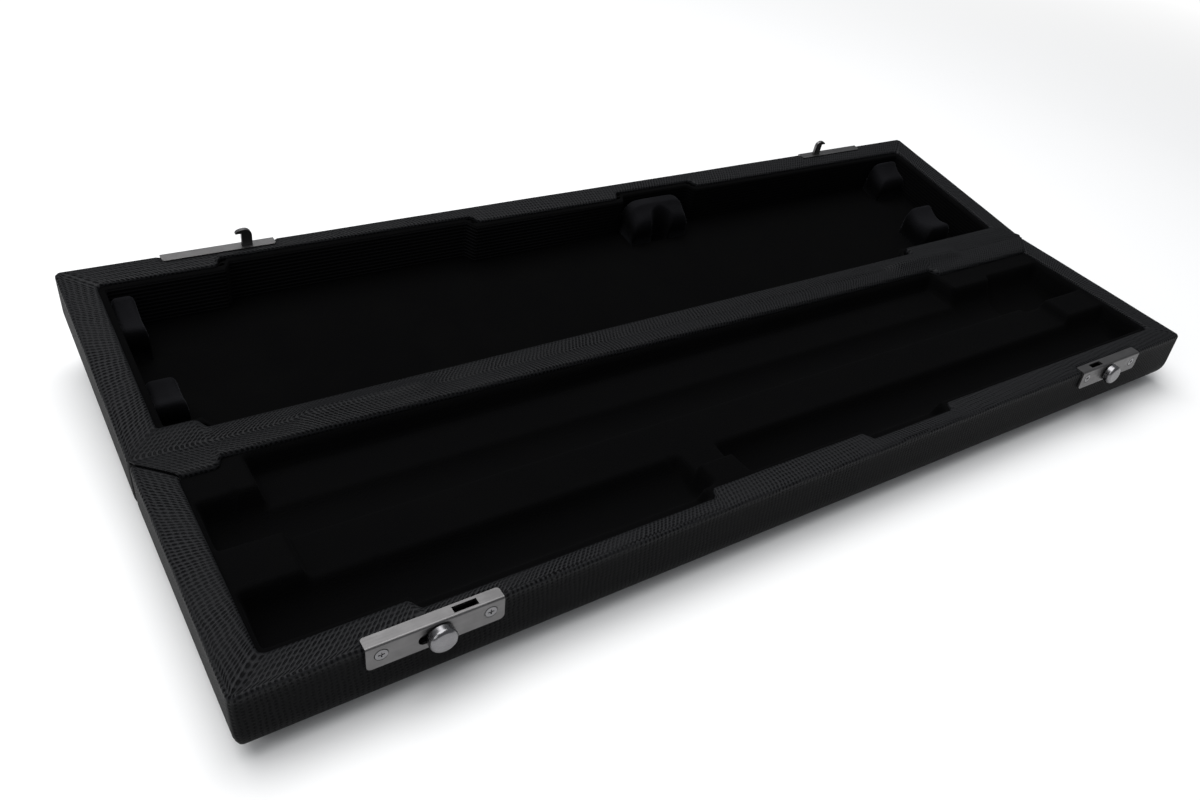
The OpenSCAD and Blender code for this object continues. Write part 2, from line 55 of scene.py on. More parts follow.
# ---------- sizes of the case, in millimetres ----------
CASE_L, CASE_W = 395.0, 93.0               # length and depth of each tray
BASE_H, LID_H = 25.0, 26.4
EDGE_R, CORNER_R, OPENING_R = 11.0, 2.0, 2.6
RIM_W, BAY_D, RIM_GAP, OPEN_A = 10.0, 4.2, 0.4, 173.0
PIVOT = (46.8, 25.2)                       # hinge line in Y and Z
OPEN_X, OPEN_Y = CASE_L / 2 - RIM_W, CASE_W / 2 - RIM_W
BACK_BAYS = ((-177.0, 128.0),)
FRONT_BAYS = ((-150.0, -50.0), (14.0, 58.0))
LEDGE, RECESS, RECESS_WALL = 1.2, 19.0, 2.4
CATCH_X, PLATE_L, KNOB_Z, KNOB_TRAVEL = 146.3, 38.0, 4.4, 4.0
HINGE_X, HINGE_L, BARREL_R, LEAF_H = 128.0, 30.0, 1.3, 10.0
BACK_TUBE_Y, FRONT_TUBE_Y = 14.0, -23.5    # middle lines of the two rows of tubes
WELLS = (                                  # x0, x1, middle line, radius
    (-185.7, 185.7, BACK_TUBE_Y, 10.5),
    (149.7, 185.7, BACK_TUBE_Y, 13.0),
    (-185.7, -47.0, FRONT_TUBE_Y, 10.3),
    (-33.0, 185.7, FRONT_TUBE_Y, 10.3),
)
SHELVES = (                                # x0, x1, y0, y1, depth
    (-169.0, 126.0, BACK_TUBE_Y, 38.9, 9.0),
    (-148.0, -52.0, -38.9, FRONT_TUBE_Y, 7.0),
    (16.0, 56.0, -38.9, FRONT_TUBE_Y, 7.0),
    (-168.7, 160.7, FRONT_TUBE_Y, BACK_TUBE_Y, 5.0),
)
LEATHER_T, STRIP_T, VELVET_T = 0.7, 0.5, 0.6
# how far the cover is pressed in at the mitres, and under the strip, plates and leaves
MITRE_SINK, STRIP_SINK, PLATE_SINK, LEAF_SINK = 0.28, 0.75, 0.7, 0.95
FLOOR_HALF, FLOOR_DROP = 2.6, 0.0002       # in metres

# ---------- camera ----------
VIEW_ANGLES = (-42.84, 35.72, 11.17)       # azimuth, elevation and roll, in degrees
VIEW_AIM, VIEW_DISTANCE = (-17.69, 0.45, 25.0), 369.95
PICTURE, CENTRE, FOCAL = (1200, 800), (727.43, 397.2), 1050.83    # in pixels
FILM_W = 36


def make_camera():
    """Stands where the photograph was taken from: an aim on the rim plane, an
    azimuth, an elevation and a roll, all found from the corners of both rims."""
    az, el, roll = (math.radians(v) for v in VIEW_ANGLES)
    back = np.array([math.sin(az) * math.cos(el), -math.cos(az) * math.cos(el), math.sin(el)])
    right = np.cross(-back, [0, 0, 1])
    right /= np.linalg.norm(right)
    up = np.cross(right, -back)
    right, up = (right * math.cos(roll) + up * math.sin(roll),
                 up * math.cos(roll) - right * math.sin(roll))
    data = bpy.data.cameras.new("camera")
    data.lens = FOCAL * FILM_W / PICTURE[0]
    data.sensor_width = FILM_W
    data.shift_x = (PICTURE[0] / 2 - CENTRE[0]) / PICTURE[0]
    data.shift_y = (CENTRE[1] - PICTURE[1] / 2) / PICTURE[0]
    data.clip_start, data.clip_end = 0.01, 20
    cam = bpy.data.objects.new("camera", data)
    bpy.context.scene.collection.objects.link(cam)
    place = Matrix([[right[i], up[i], back[i]] for i in range(3)]).to_4x4()
    place.translation = Vector((np.array(VIEW_AIM) + back * VIEW_DISTANCE) * MM)
    cam.matrix_world = place
    bpy.context.scene.camera = cam


# ---------- light and floor ----------
def soft_panel(name, place, aim, size, watts, colour=(1, 1, 1)):
    """A rectangular lamp that looks at a point."""
    data = bpy.data.lights.new(name, "AREA")
    data.shape, data.size, data.size_y = "RECTANGLE", size[0], size[1]
    data.energy, data.color = watts, colour
    lamp = bpy.data.objects.new(name, data)
    bpy.context.scene.collection.objects.link(lamp)
    turn = (Vector(aim) - Vector(place)).to_track_quat("-Z", "Y")
    lamp.matrix_world = Matrix.Translation(place) @ turn.to_matrix().to_4x4()


def make_studio():
    """An even fill that the camera sees as white, two soft panels, and a pale paper
    floor that turns white far from the case."""
    world = bpy.data.worlds.new("studio")
    bpy.context.scene.world = world
    world.use_nodes = True
    nodes, links = world.node_tree.nodes, world.node_tree.links
    nodes.clear()
    out = nodes.new("ShaderNodeOutputWorld")
    mix = nodes.new("ShaderNodeMixShader")
    fill = nodes.new("ShaderNodeBackground")
    fill.inputs["Color"].default_value = (0.93, 0.96, 1.0, 1)
    fill.inputs["Strength"].default_value = 0.26
    white = nodes.new("ShaderNodeBackground")
    white.inputs["Color"].default_value = (1, 1, 1, 1)
    white.inputs["Strength"].default_value = 1.0
    path = nodes.new("ShaderNodeLightPath")
    links.new(path.outputs["Is Camera Ray"], mix.inputs[0])
    links.new(fill.outputs[0], mix.inputs[1])
    links.new(white.outputs[0], mix.inputs[2])
    links.new(mix.outputs[0], out.inputs["Surface"])
    soft_panel("panel over the case", (-0.15, 0.22, 1.1), (0.0, 0.05, 0.0), (1.3, 1.0), 16.0)
    soft_panel("panel at the left", (-1.1, -0.35, 0.7), (0.0, 0.0, 0.02), (0.7, 0.6), 2.4)
    ends = (-FLOOR_HALF, FLOOR_HALF)
    verts = [(x, y, -FLOOR_DROP) for y in ends for x in ends]
    mesh = bpy.data.meshes.new("floor")
    mesh.from_pydata(verts, [], [(0, 1, 3, 2)])
    floor = bpy.data.objects.new("floor", mesh)
    bpy.context.scene.collection.objects.link(floor)
    paper = material("pale paper floor")
    bsdf = paper.node_tree.nodes["shader"]
    bsdf.inputs["Base Color"].default_value = (0.93, 0.93, 0.93, 1)
    bsdf.inputs["Roughness"].default_value = 0.9
    bsdf.inputs["Specular IOR Level"].default_value = 0.1
    place = node(paper, "ShaderNodeTexCoord")
    far = node(paper, "ShaderNodeVectorMath", operation="LENGTH")
    join(paper, place, "Object", far, 0)
    blend = ramp(paper, far, "Value", [(0.5, grey(0.0)), (0.95, grey(1.0))])
    glow = node(paper, "ShaderNodeEmission")
    glow.inputs["Strength"].default_value = 1.0
    mix = node(paper, "ShaderNodeMixShader")
    join(paper, blend, "Color", mix, 0)
    join(paper, bsdf, 0, mix, 1)
    join(paper, glow, 0, mix, 2)
    join(paper, mix, 0, paper.node_tree.nodes["out"], "Surface")
    mesh.materials.append(paper)


# ---------- materials ----------
def material(name):
    """A material with one principled shader and its output."""
    m = bpy.data.materials.new(name)
    m.use_nodes = True
    nodes = m.node_tree.nodes
    nodes.clear()
    out = nodes.new("ShaderNodeOutputMaterial")
    out.name = "out"
    bsdf = nodes.new("ShaderNodeBsdfPrincipled")
    bsdf.name = "shader"
    m.node_tree.links.new(bsdf.outputs[0], out.inputs["Surface"])
    return m


def node(m, kind, **values):
    """Adds a node and sets its properties and unlinked sockets by name."""
    made = m.node_tree.nodes.new(kind)
    for key, value in values.items():
        if hasattr(made, key):
            setattr(made, key, value)
        else:
            made.inputs[key.replace("_", " ")].default_value = value
    return made


def join(m, source, out, target, into):
    m.node_tree.links.new(source.outputs[out], target.inputs[into])


def ramp(m, source, out, stops):
    """A colour ramp over a value, from (position, colour) stops."""
    made = m.node_tree.nodes.new("ShaderNodeValToRGB")
    e = made.color_ramp.elements
    e[0].position, e[1].position = stops[0][0], stops[-1][0]
    e[0].color, e[1].color = (*stops[0][1], 1), (*stops[-1][1], 1)
    for position, colour in stops[1:-1]:
        e.new(position).color = (*colour, 1)
    join(m, source, out, made, 0)
    return made


def grey(v):
    return (v, v, v)


def product(m, first, first_out, second, second_out):
    """Multiplies two colours. The result is the node's output 2."""
    made = node(m, "ShaderNodeMix", data_type="RGBA", blend_type="MULTIPLY")
    made.inputs["Factor"].default_value = 1.0
    join(m, first, first_out, made, 6)
    join(m, second, second_out, made, 7)
    return made


def leatherette():
    """Black leatherette pressed with a small woven grain, on the piece's own map in
    millimetres: rows of dark pits between lighter threads, which waver and fade in
    patches. The threads have a faint satin gloss. Painted shade: down the walls the
    colour and gloss are darkened and the grain is faded flat, so the rim tops read lit."""
    m = material("black grained leatherette")
    bsdf = m.node_tree.nodes["shader"]
    uv = node(m, "ShaderNodeUVMap", uv_map="along_edge")
    sway = node(m, "ShaderNodeTexNoise", noise_dimensions="2D", Scale=0.16, Detail=2.0)
    join(m, uv, "UV", sway, "Vector")
    shift = node(m, "ShaderNodeVectorMath", operation="MULTIPLY_ADD")
    shift.inputs[1].default_value = (1.2, 1.0, 0)
    join(m, sway, "Color", shift, 0)
    join(m, uv, "UV", shift, 2)
    rows = node(m, "ShaderNodeMapping")
    rows.inputs["Scale"].default_value = (1, 1, 1)
    rows.inputs["Rotation"].default_value = (0, 0, math.radians(3))
    join(m, shift, "Vector", rows, "Vector")
    across = node(m, "ShaderNodeTexWave", wave_type="BANDS", bands_direction="X", Scale=0.215,
                  Distortion=0.7, Detail=1.0)
    along = node(m, "ShaderNodeTexWave", wave_type="BANDS", bands_direction="Y", Scale=0.25,
                 Distortion=0.7, Detail=1.0)
    join(m, rows, "Vector", across, "Vector")
    join(m, rows, "Vector", along, "Vector")
    fine = node(m, "ShaderNodeTexNoise", noise_dimensions="2D", Scale=3.2, Detail=3.0)
    join(m, uv, "UV", fine, "Vector")
    broad = node(m, "ShaderNodeTexNoise", noise_dimensions="2D", Scale=0.05, Detail=3.0)
    join(m, uv, "UV", broad, "Vector")
    rungs = node(m, "ShaderNodeMath", operation="MULTIPLY_ADD")
    rungs.inputs[1].default_value, rungs.inputs[2].default_value = 0.6, 0.4
    join(m, along, "Fac", rungs, 0)
    pits = node(m, "ShaderNodeMath", operation="MULTIPLY")
    join(m, across, "Fac", pits, 0)
    join(m, rungs, "Value", pits, 1)
    rough_pits = node(m, "ShaderNodeMath", operation="MULTIPLY_ADD")
    rough_pits.inputs[1].default_value = 0.25
    join(m, fine, "Fac", rough_pits, 0)
    join(m, pits, "Value", rough_pits, 2)
    net = ramp(m, rough_pits, "Value", [(0.3, grey(1.0)), (0.58, grey(0.6)), (0.92, grey(0.0))])
    # painted shade: the attribute read here is 1 on the rim tops and 0 down the walls; the walls
    # get a flatter grain, darker colour and less gloss, as if lit only from above
    painted_top_light = node(m, "ShaderNodeAttribute", attribute_name="painted_top_light")
    depth = ramp(m, painted_top_light, "Fac", [(0.0, grey(0.4)), (1.0, grey(1.0))])
    patches = ramp(m, broad, "Fac", [(0.35, grey(1.0)), (0.68, grey(0.45))])
    # the grain's fade mixes random patches with painted shade on the walls
    patches_and_wall_shade = product(m, patches, "Color", depth, "Color")
    fade = node(m, "ShaderNodeMix", data_type="RGBA")
    join(m, patches_and_wall_shade, 2, fade, "Factor")
    fade.inputs[6].default_value = (0.62, 0.62, 0.62, 1)
    join(m, net, "Color", fade, 7)
    colour = ramp(m, fade, 2, [(0.0, (0.0014, 0.0014, 0.0017)), (1.0, (0.0074, 0.0077, 0.0089))])
    # painted shade: the walls' colour and gloss are cut to about a third of the rim tops'
    wall_shade = ramp(m, painted_top_light, "Fac", [(0.0, grey(0.36)), (1.0, grey(1.0))])
    join(m, product(m, colour, "Color", wall_shade, "Color"), 2, bsdf, "Base Color")
    rough = ramp(m, fine, "Fac", [(0.3, grey(0.5)), (0.75, grey(0.66))])
    join(m, rough, "Color", bsdf, "Roughness")
    gloss = ramp(m, fade, 2, [(0.0, grey(0.04)), (1.0, grey(0.17))])
    join(m, product(m, gloss, "Color", wall_shade, "Color"), 2, bsdf, "Specular IOR Level")
    bump = node(m, "ShaderNodeBump", Strength=1.0, Distance=0.0003)
    join(m, fade, 2, bump, "Height")
    join(m, bump, "Normal", bsdf, "Normal")
    return m


def velvet(name, tone, ribs=False, painted_top_light=False):
    """Near-black velvet: a dark body under a faint cool sheen, a pile that lies in
    soft patches, and, on the lid's wall, fine ribs along the piece's own map, with a
    painted sheen on their crests. A pad gets a painted highlight on its top and
    painted shade down its sides."""
    m = material(name)
    bsdf = m.node_tree.nodes["shader"]
    place = node(m, "ShaderNodeTexCoord")
    pile = node(m, "ShaderNodeTexNoise", Scale=1500.0, Detail=2.0)
    join(m, place, "Object", pile, "Vector")
    lay = node(m, "ShaderNodeTexNoise", Scale=38.0, Detail=3.0, Roughness=0.6)
    join(m, place, "Object", lay, "Vector")
    colour = ramp(m, lay, "Fac", [(0.3, (0.0009 * tone, 0.0009 * tone, 0.0011 * tone)),
                                  (0.72, (0.0024 * tone, 0.0024 * tone, 0.0028 * tone))])
    body, body_out = colour, "Color"
    if painted_top_light:
        # painted highlight: a pad's top keeps its full tone and its sides fall to about a fifth,
        # as if lit from above
        top = node(m, "ShaderNodeAttribute", attribute_name="top")
        pale = ramp(m, top, "Fac", [(0.45, grey(0.22)), (0.95, grey(1.0))])
        body, body_out = product(m, colour, "Color", pale, "Color"), 2
    rough = ramp(m, lay, "Fac", [(0.3, grey(0.85)), (0.7, grey(1.0))])
    join(m, rough, "Color", bsdf, "Roughness")
    bump = node(m, "ShaderNodeBump", Strength=0.55, Distance=0.0003)
    join(m, pile, "Fac", bump, "Height")
    last = bump
    if ribs:
        uv = node(m, "ShaderNodeUVMap", uv_map="along_edge")
        wave = node(m, "ShaderNodeTexWave", wave_type="BANDS", bands_direction="Y", Scale=0.2,
                    Distortion=0.35)
        join(m, uv, "UV", wave, "Vector")
        wall = node(m, "ShaderNodeAttribute", attribute_name="wall")
        strong = node(m, "ShaderNodeMath", operation="MULTIPLY")
        join(m, wave, "Fac", strong, 0)
        join(m, wall, "Fac", strong, 1)
        last = node(m, "ShaderNodeBump", Strength=0.8, Distance=0.0005)
        join(m, strong, "Value", last, "Height")
        join(m, bump, "Normal", last, "Normal")
        # painted sheen: the rib crests are mixed towards a lighter tone where the wall mask is
        # strong; the ribs' relief is the bump above
        lit = node(m, "ShaderNodeMix", data_type="RGBA")
        join(m, strong, "Value", lit, "Factor")
        join(m, colour, "Color", lit, 6)
        lit.inputs[7].default_value = (0.0062, 0.0062, 0.007, 1)
        body, body_out = lit, 2
    join(m, body, body_out, bsdf, "Base Color")
    join(m, last, "Normal", bsdf, "Normal")
    bsdf.inputs["Sheen Weight"].default_value = 0.014 * tone
    bsdf.inputs["Sheen Roughness"].default_value = 0.35
    bsdf.inputs["Sheen Tint"].default_value = (0.55, 0.57, 0.64, 1)
    bsdf.inputs["Specular IOR Level"].default_value = 0.05
    return m


def nickel(name, low, high, grain, tone=(0.76, 0.755, 0.78)):
    """Plated metal: a pale cool body whose gloss varies with faint drawn lines and
    handling marks."""
    m = material(name)
    bsdf = m.node_tree.nodes["shader"]
    place = node(m, "ShaderNodeTexCoord")
    drawn = node(m, "ShaderNodeMapping")
    drawn.inputs["Scale"].default_value = (60, 1400, 1400)
    join(m, place, "Object", drawn, "Vector")
    lines = node(m, "ShaderNodeTexNoise", Scale=1.0, Detail=3.0)
    join(m, drawn, "Vector", lines, "Vector")
    marks = node(m, "ShaderNodeTexNoise", Scale=260.0, Detail=4.0)
    join(m, place, "Object", marks, "Vector")
    colour = ramp(m, marks, "Fac", [(0.35, tuple(0.86 * c for c in tone)), (0.7, tone)])
    join(m, colour, "Color", bsdf, "Base Color")
    rough = ramp(m, lines, "Fac", [(0.3, grey(low)), (0.7, grey(high))])
    join(m, rough, "Color", bsdf, "Roughness")
    bump = node(m, "ShaderNodeBump", Strength=grain, Distance=0.00003)
    join(m, lines, "Fac", bump, "Height")
    join(m, bump, "Normal", bsdf, "Normal")
    bsdf.inputs["Metallic"].default_value = 1.0
    return m


def plywood():
    """Bare plywood of the trays, which the cover hides."""
    m = material("bare plywood")
    bsdf = m.node_tree.nodes["shader"]
    place = node(m, "ShaderNodeTexCoord")
    grain = node(m, "ShaderNodeMapping")
    grain.inputs["Scale"].default_value = (12, 260, 260)
    join(m, place, "Object", grain, "Vector")
    lines = node(m, "ShaderNodeTexNoise", Scale=1.0, Detail=4.0)
    join(m, grain, "Vector", lines, "Vector")
    colour = ramp(m, lines, "Fac", [(0.3, (0.42, 0.27, 0.15)), (0.7, (0.62, 0.45, 0.28))])
    join(m, colour, "Color", bsdf, "Base Color")
    rough = ramp(m, lines, "Fac", [(0.3, grey(0.6)), (0.7, grey(0.8))])
    join(m, rough, "Color", bsdf, "Roughness")
    return m


def dark_foam():
    """The moulded former under the velvet."""
    m = material("dark moulded foam")
    bsdf = m.node_tree.nodes["shader"]
    place = node(m, "ShaderNodeTexCoord")
    cells = node(m, "ShaderNodeTexVoronoi", Scale=700.0)
    join(m, place, "Object", cells, "Vector")
    colour = ramp(m, cells, "Distance", [(0.1, grey(0.0012)), (0.8, grey(0.003))])
    join(m, colour, "Color", bsdf, "Base Color")
    bump = node(m, "ShaderNodeBump", Strength=0.4, Distance=0.0002)
    join(m, cells, "Distance", bump, "Height")
    join(m, bump, "Normal", bsdf, "Normal")
    bsdf.inputs["Roughness"].default_value = 0.9
    bsdf.inputs["Specular IOR Level"].default_value = 0.05
    return m


# ---------- placing pieces ----------
def on_base(p):
    """Tray coordinates, rim at z = 0, to the lower tray, in metres."""
    return (p + [0, 0, BASE_H]) * MM


def on_lid(p):
    """The same for the lid: mirrored up off the rim, then turned open about the
    hinge line. The mirror turns the faces, so callers flip them."""
    q = np.array(p, float)
    y, z = q[:, 1] - PIVOT[0], BASE_H + RIM_GAP - q[:, 2] - PIVOT[1]
    c, s = math.cos(math.radians(-OPEN_A)), math.sin(math.radians(-OPEN_A))
    q[:, 1], q[:, 2] = PIVOT[0] + y * c - z * s, PIVOT[1] + y * s + z * c
    return q * MM


def add_piece(name, verts, faces, body, mat, uv=None, values=None, smooth=True):
    """Makes one mesh piece from arrays, with its map and values per vertex. It rides
    on its body; one that bends between two bodies has none."""
    mesh = bpy.data.meshes.new(name)
    mesh.from_pydata(verts.tolist(), [], faces.tolist())
    if uv is not None:
        layer = mesh.uv_layers.new(name="along_edge")
        layer.data.foreach_set("uv", uv.reshape(-1).astype(np.float32))
    for key, v in (values or {}).items():
        a = mesh.attributes.new(key, "FLOAT", "POINT")
        a.data.foreach_set("value", v.astype(np.float32))
    mesh.polygons.foreach_set("use_smooth", np.full(len(faces), smooth))
    mesh.update()
    mesh.materials.append(mat)
    piece = bpy.data.objects.new(name, mesh)
    bpy.context.scene.collection.objects.link(piece)
    if body:
        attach(piece, body)
    return piece


def thicken(piece, thickness):
    """Gives a sheet its thickness in millimetres, inwards from its face."""
    wall = piece.modifiers.new("thickness", "SOLIDIFY")
    wall.thickness, wall.offset = thickness * MM, -1.0


def weld(piece, distance=0.02, outwards=False):
    """Joins a piece's vertices that lie within a distance in millimetres, and turns a
    closed piece's faces outwards."""
    bm = bmesh.new()
    bm.from_mesh(piece.data)
    bmesh.ops.remove_doubles(bm, verts=bm.verts, dist=distance * MM)
    if outwards:
        bmesh.ops.recalc_face_normals(bm, faces=bm.faces)
    bm.to_mesh(piece.data)
    bm.free()


def grid_faces(rows, cols, wrap, flip):
    """Quads of a rows by cols grid; wrap joins the last column to the first. Also
    gives each quad's four (row, column) pairs, unwrapped, for its map."""
    i, j = np.meshgrid(np.arange(rows - 1), np.arange(cols if wrap else cols - 1), indexing="ij")
    i, j = i.ravel(), j.ravel()
    order = [(0, 0), (1, 0), (1, 1), (0, 1)]
    if flip:
        order.reverse()
    pairs = np.stack([np.stack([i + a, j + b], -1) for a, b in order], 1)
    return pairs[..., 0] * cols + pairs[..., 1] % cols, pairs


# ---------- surfaces carried round the rim ----------
def soft_step(v, width):
    v = np.clip(v / width, 0, 1)
    return v * v * (3 - 2 * v)


def bay(x, front, pull=0.0):
    """How far the opening widens at x: BAY_D within each bay, with round ends that
    a lining in front of the wall has pulled in."""
    out = np.zeros_like(x)
    for x0, x1 in (FRONT_BAYS if front else BACK_BAYS):
        out = np.maximum(out, soft_step(x - x0 - pull, 2.6) * soft_step(x1 - pull - x, 2.6))
    return out * BAY_D


def edge_columns(step):
    """Stations round the rim: along each side a fraction from -1 to 1, and round
    each corner an angle. Gives (side, fraction or angle, length run so far)."""
    n_long, n_short, n_turn = int(CASE_L / step), int(CASE_W / step), 8
    side, value, run = [], [], []
    start = 0.0
    for k, (count, length) in enumerate(((n_long, CASE_L), (n_short, CASE_W)) * 2):
        straight = length - 2 * CORNER_R
        f = np.linspace(-1, 1, count)
        side += [np.full(count, k)]
        value += [f]
        run += [start + (f + 1) / 2 * straight]
        start += straight
        a = np.linspace(0, 1, n_turn + 2)[1:-1]
        side += [np.full(n_turn, 4 + k)]
        value += [a]
        run += [start + a * CORNER_R * math.pi / 2]
        start += CORNER_R * math.pi / 2
    return np.concatenate(side), np.concatenate(value), np.concatenate(run), start


def carry_round(rows, step, pull=0.0, half=(CASE_L / 2, CASE_W / 2)):
    """Carries a profile round the rim. Each row has (inset, height, share of the
    bays, corner radius). On a side, the point stands at its fraction of the side's
    straight part, inset from the outer rectangle less the bay; round a corner it
    lies on an arc about the corner's centre. Returns rows x columns points."""
    side, value, run, total = edge_columns(step)
    d, z, k, r = (np.array(c, float)[:, None] for c in zip(*rows))
    a, b = half[0] - d, half[1] - d
    r = np.minimum(r, np.minimum(a, b) * 0.98)
    x, y = np.zeros((len(rows), len(side))), np.zeros((len(rows), len(side)))
    v = value[None, :]
    turn = math.pi / 2
    for q in range(4):
        on = side == q
        sx, sy = ((1, -1), (1, 1), (-1, 1), (-1, -1))[q]
        if q in (0, 2):
            x[:, on] = (1 if q == 0 else -1) * v[:, on] * (a - r)
            widen = bay(x[:, on], q == 0, pull)
            y[:, on] = (-1 if q == 0 else 1) * (b + k * widen)
        else:
            y[:, on] = (1 if q == 1 else -1) * v[:, on] * (b - r)
            x[:, on] = (1 if q == 1 else -1) * a
        on = side == 4 + q
        angle = (q - 1) * turn + v[:, on] * turn
        x[:, on] = sx * (a - r) + r * np.cos(angle)
        y[:, on] = sy * (b - r) + r * np.sin(angle)
    return np.stack([x, y, np.broadcast_to(z, x.shape)], -1), side, value, run, total


def edge_map(rows, pairs, points, run, total):
    """The piece's own map: length round the rim by length along the profile."""
    mid = points[:, len(run) // 9]
    along = np.concatenate([[0], np.cumsum(np.linalg.norm(np.diff(mid, axis=0), axis=1))])
    u = np.append(run, total)[pairs[..., 1]]
    return np.stack([u, along[pairs[..., 0]]], -1)


def quarter(d0, z0, r, a0, a1, n):
    """Points of an arc about (d0, z0) in inset and height, angles in degrees."""
    a = np.radians(np.linspace(a0, a1, n))
    return [(d0 + r * math.cos(t), z0 + r * math.sin(t)) for t in a]


def cover_rows(height):
    """Profile of a covered tray: up the inner lip, over a crowned rim, round the
    outer edge, down the wall, round the bottom edge and in under the tray."""
    rows = [(RIM_W + 0.3, z, 1.0, OPENING_R) for z in (-2.4, -1.6, -0.9)]
    rows += [(RIM_W + 0.1, -0.3, 0.99, OPENING_R), (RIM_W - 0.6, 0.0, 0.94, OPENING_R)]
    for t in np.linspace(0.8, 0.2, 7):
        crown = 0.16 * math.sin(math.pi * t)
        rows.append((RIM_W * t, crown, t, CORNER_R + (OPENING_R - CORNER_R) * t))
    rows += [(d, z, 0.0, CORNER_R - min(d, 1)) for d, z in quarter(1.1, -1.1, 1.1, 90, 180, 6)]
    wall = (-2.6, -5.1, -7.6, -LEAF_H - 0.1, -LEAF_H - 0.9, -12.4, -height + EDGE_R)
    rows += [(0.0, z, 0.0, CORNER_R) for z in wall]
    rows += [(d, z, 0.0, max(CORNER_R - d, 0.4))
             for d, z in quarter(EDGE_R, -height + EDGE_R, EDGE_R, 180, 270, 11)[1:]]
    rows += [(d, -height, 0.0, 0.4) for d in (18.0, 28.0, 38.0, CASE_W / 2)]
    return rows


def make_cover(name, height, body, place, flip, mat):
    """The leatherette cover of a tray: the profile of cover_rows carried round the
    rim, pressed in along the mitres, under the plates and under the hinge leaves,
    and given thickness."""
    pts, side, value, run, total = carry_round(cover_rows(height), 1.0)
    x, y, z = pts[..., 0], pts[..., 1], pts[..., 2]
    on_rim = soft_step(z + 1.5, 1.2)
    turn = np.abs(value - 0.5)[None, :] * (side >= 4)[None, :] + 9.0 * (side < 4)[None, :]
    if body == "lid":
        turn = np.where((side == 5) | (side == 6), 9.0, turn)
    crease = np.exp(-(turn / 0.09) ** 2)
    z -= MITRE_SINK * crease * on_rim
    covered = ((side == 2) | ((side == 5) & (value > 0.5)) | ((side == 6) & (value < 0.5)))
    z -= STRIP_SINK * covered[None, :] * on_rim
    wave = np.sin(x * 0.11 + 1.3) * np.sin(y * 0.19 + 0.4) + np.sin(x * 0.043 - y * 0.07)
    z += (0.03 * wave - 0.04) * on_rim
    near = np.abs(np.abs(x) - CATCH_X)
    under = soft_step(PLATE_L / 2 + 0.9 - near, 1.0) * (y < 0)
    z -= PLATE_SINK * under * soft_step(-(y + CASE_W / 2 - 4.6), 1.0) * on_rim
    near = np.abs(np.abs(x) - HINGE_X)
    leaf = soft_step(HINGE_L / 2 + 1.1 - near, 1.0) * soft_step(z + LEAF_H + 0.9, 0.8)
    y -= leaf * (side == 2)[None, :] * np.maximum(y - CASE_W / 2 + LEAF_SINK, 0)
    faces, pairs = grid_faces(len(pts), pts.shape[1], True, flip)
    mid = pts.reshape(-1, 3)[faces].mean(1)
    hole_h = 6.2 if body == "base" else 4.0
    hole = ((np.abs(np.abs(mid[:, 0]) - CATCH_X) < PLATE_L / 2 - 1.6)
            & (mid[:, 1] < -CASE_W / 2 + 2.8) & (mid[:, 2] > -hole_h))
    uv = edge_map(len(pts), pairs, pts, run, total)
    # painted shade mask: 1 on the rim top, falling to 0 down the walls, where the leatherette is
    # painted darker
    painted_top_light = soft_step(pts[..., 2] + 3.2, 3.0)
    piece = add_piece(name, place(pts.reshape(-1, 3)), faces[~hole], body, mat,
                      uv[~hole], {"painted_top_light": painted_top_light.reshape(-1)})
    weld(piece)
    thicken(piece, LEATHER_T)
    return piece


def make_strip(mat):
    """The leatherette strip over the hinge line. Its section runs from the lower
    tray's lip over the rim to the hinge line and on over the lid's rim, arched where
    it passes a hinge barrel. Along X it ends on the mitres: half the length of a row
    is the case's half length less the row's inset. It bends between the trays."""
    f = np.linspace(-1, 1, 396)
    insets = [RIM_W + 0.4, RIM_W + 0.4, RIM_W + 0.2, RIM_W - 0.5]
    insets += [7.4, 6.2, 5.0, 3.8, 2.9, 2.2, 1.6, 1.1, 0.7, 0.3]
    lows = [-2.3, -1.0, -0.3, 0.04] + [0.0] * 10
    sides = []
    for place, trim in ((on_base, 0.35), (on_lid, -0.4)):
        rows = []
        for d, low in zip(insets, lows):
            x = f * (CASE_L / 2 - max(d, 1.0) - trim)
            y = CASE_W / 2 - d + bay(x, False) * min(d / RIM_W, 1.0)
            z = low + (0.04 + 0.13 * math.sin(math.pi * min(d / RIM_W, 1)) if low >= 0 else 0)
            z = z + 0.04 * np.sin(x * 0.13 + d) * (low >= 0)
            rows.append(place(np.stack([x, y, z], -1)))
        sides.append(rows)
    middle = (sides[0][-1] + sides[1][-1]) / 2
    pts = np.stack(sides[0] + [middle] + sides[1][::-1])
    x, y = pts[..., 0] / MM, pts[..., 1] / MM
    along = soft_step(HINGE_L / 2 + 11.0 - np.abs(np.abs(x) - HINGE_X), 10.5)
    arch = (BARREL_R + 0.8) * np.exp(-((y - PIVOT[0]) / 3.2) ** 2)
    pts[..., 2] += arch * along * MM
    valley = 0.22 * np.exp(-((y - PIVOT[0]) / 0.9) ** 2) * (1 - along)
    pts[..., 2] -= valley * MM
    faces, pairs = grid_faces(len(pts), len(f), False, False)
    steps = np.linalg.norm(np.diff(pts[:, 60], axis=0), axis=1)
    run = np.concatenate([[0], np.cumsum(steps)]) / MM
    uv = np.stack([(f * CASE_L / 2)[pairs[..., 1]], run[pairs[..., 0]]], -1)
    # the strip gets the painted top light at 0.8 all over, nearly as light as a rim top
    piece = add_piece("leatherette_strip_of_the_hinge", pts.reshape(-1, 3), faces, None,
                      mat, uv, {"painted_top_light": np.full(pts.size // 3, 0.8)})
    thicken(piece, STRIP_T)
    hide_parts("hinge_strip_base", "hinge_strip_lid")
    return piece


